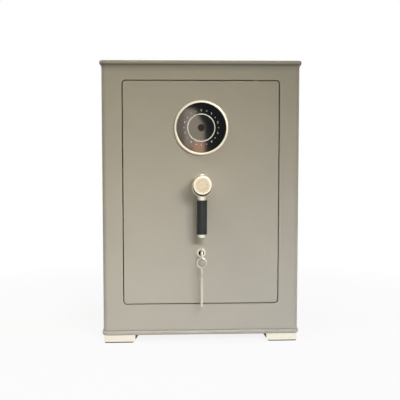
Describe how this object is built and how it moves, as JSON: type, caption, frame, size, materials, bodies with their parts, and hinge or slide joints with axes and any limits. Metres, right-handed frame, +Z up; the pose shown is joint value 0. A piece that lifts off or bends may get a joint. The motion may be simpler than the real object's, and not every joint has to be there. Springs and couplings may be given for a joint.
{
  "type": "biometric safe",
  "caption": "Floor-standing steel safe with a hinged flush door, round touch keypad with fingerprint sensor, lever handle that throws the bolts, key lock, lined inside and shelf.",
  "frame": {"origin": "on the floor under the middle of the whole object's box, handle included", "axes": "+Z up, +X to the right of someone facing the door, the door faces -Y"},
  "size_m": [0.427, 0.4284, 0.6],
  "materials": {
    "grey_paint": "fine satin powder coat, warm grey",
    "inner_paint": "satin dark grey paint",
    "felt": "short felt",
    "champagne_metal": "satin champagne plating",
    "foot_black": "matt black moulding",
    "black_rubber": "matt black rubber",
    "grip_black": "soft black grip",
    "dark_glass": "polished dark touch glass",
    "sensor_black": "polished black sensor window",
    "bolt_steel": "polished chrome plate",
    "zinc_steel": "bright zinc plate",
    "bush_brass": "turned brass",
    "key_nickel": "nickel plate",
    "board_green": "green solder mask",
    "lead_black": "black lead sheath",
    "battery_plastic": "fine-grained black moulding",
    "cell_wrap": "plain dark wrapper",
    "reset_red": "red moulding"
  },
  "bodies": {
    "body": {"front_frame": "grey_paint", "door_jamb": "grey_paint", "left_side_panel": "grey_paint", "right_side_panel": "grey_paint", "back_panel": "grey_paint", "top_cap": "grey_paint", "base_tray": "grey_paint", "side_linings": "felt", "back_lining": "felt", "ceiling_lining": "felt", "floor_mat": "felt", "shelf": "felt", "shelf_rails": "inner_paint", "door_stops": "black_rubber", "hinge_bushes": "bush_brass", "foot_blocks": "foot_black", "foot_trims": "champagne_metal", "foot_pads": "black_rubber", "foot_screws": "zinc_steel"},
    "door": {"door_plate": "grey_paint", "door_pan": "inner_paint", "door_back_cover": "inner_paint", "cover_screws": "zinc_steel", "hinge_lugs": "inner_paint", "hinge_pins": "zinc_steel", "fixed_bolts": "bolt_steel", "bolt_guides": "bush_brass", "keypad_bezel": "champagne_metal", "touch_glass": "dark_glass", "fingerprint_sensor": "sensor_black", "keypad_housing": "foot_black", "keypad_circuit_board": "board_green", "keypad_lead": "lead_black", "battery_lead": "lead_black", "spindle_bush": "bush_brass", "lock_case": "zinc_steel", "battery_box": "battery_plastic", "batteries": "cell_wrap", "lock_barrel": "key_nickel", "reset_switch": "battery_plastic"},
    "handle": {"handle_hub": "champagne_metal", "handle_cap": "champagne_metal", "lever_sleeve": "champagne_metal", "lever_rod": "zinc_steel", "lever_grip": "grip_black", "lever_end_cap": "champagne_metal", "handle_spindle": "zinc_steel", "crank_disc": "zinc_steel"},
    "side_bolt_set": {"bolt_carriage": "zinc_steel", "side_bolts": "bolt_steel"},
    "top_bolt_set": {"top_bolt_rod": "bolt_steel"},
    "bottom_bolt_set": {"bottom_bolt_rod": "bolt_steel"},
    "lock_bolt_set": {"lock_bolt": "zinc_steel"},
    "key_set": {"key_plug": "key_nickel", "key_cam": "zinc_steel", "door_key": "key_nickel"},
    "ring_set": {"key_ring": "key_nickel"},
    "spare_key_set": {"spare_key": "key_nickel"},
    "battery_cover_set": {"battery_cover": "battery_plastic"},
    "reset_button_set": {"reset_button": "reset_red"}
  },
  "joints": [
    {"name": "door_hinge", "type": "hinge", "parent": "body", "child": "door", "pos_m": [0.1165, -0.14825, 0.3214], "axis": [0, 0, 1], "range_deg": [0, 110]},
    {"name": "handle_turn", "type": "hinge", "parent": "door", "child": "handle", "pos_m": [0, -0.16125, 0.34172], "axis": [0, 1, 0], "range_deg": [0, 60]},
    {"name": "side_bolts_slide", "type": "slide", "parent": "door", "child": "side_bolt_set", "axis": [-1, 0, 0], "range_m": [0, 0.02]},
    {"name": "top_bolt_slide", "type": "slide", "parent": "door", "child": "top_bolt_set", "axis": [0, 0, 1], "range_m": [0, 0.02]},
    {"name": "bottom_bolt_slide", "type": "slide", "parent": "door", "child": "bottom_bolt_set", "axis": [0, 0, -1], "range_m": [0, 0.02]},
    {"name": "lock_bolt_slide", "type": "slide", "parent": "door", "child": "lock_bolt_set", "axis": [0, 0, -1], "range_m": [0, 0.006]},
    {"name": "key_turn", "type": "hinge", "parent": "door", "child": "key_set", "pos_m": [0, -0.16125, 0.19382], "axis": [0, 1, 0], "range_deg": [0, 90]},
    {"name": "key_ring_swing", "type": "hinge", "parent": "key_set", "child": "ring_set", "pos_m": [0, -0.18625, 0.18332], "axis": [0, 1, 0], "range_deg": [-90, 0]},
    {"name": "spare_key_swing", "type": "hinge", "parent": "ring_set", "child": "spare_key_set", "pos_m": [0, -0.18625, 0.16597], "axis": [1, 0, 0], "range_deg": [-45, 10]},
    {"name": "battery_cover_slide", "type": "slide", "parent": "door", "child": "battery_cover_set", "axis": [0, 0, 1], "range_m": [0, 0.062]},
    {"name": "reset_button_press", "type": "slide", "parent": "door", "child": "reset_button_set", "axis": [0, -1, 0], "range_m": [0, 0.002], "stiffness_N_per_m": 200}
  ],
  "couplings": [
    {"joint": "side_bolts_slide", "follows": "handle_turn", "m_per_rad": 0.019099},
    {"joint": "top_bolt_slide", "follows": "handle_turn", "m_per_rad": 0.019099},
    {"joint": "bottom_bolt_slide", "follows": "handle_turn", "m_per_rad": 0.019099},
    {"joint": "key_ring_swing", "follows": "key_turn", "ratio": -1}
  ]
}
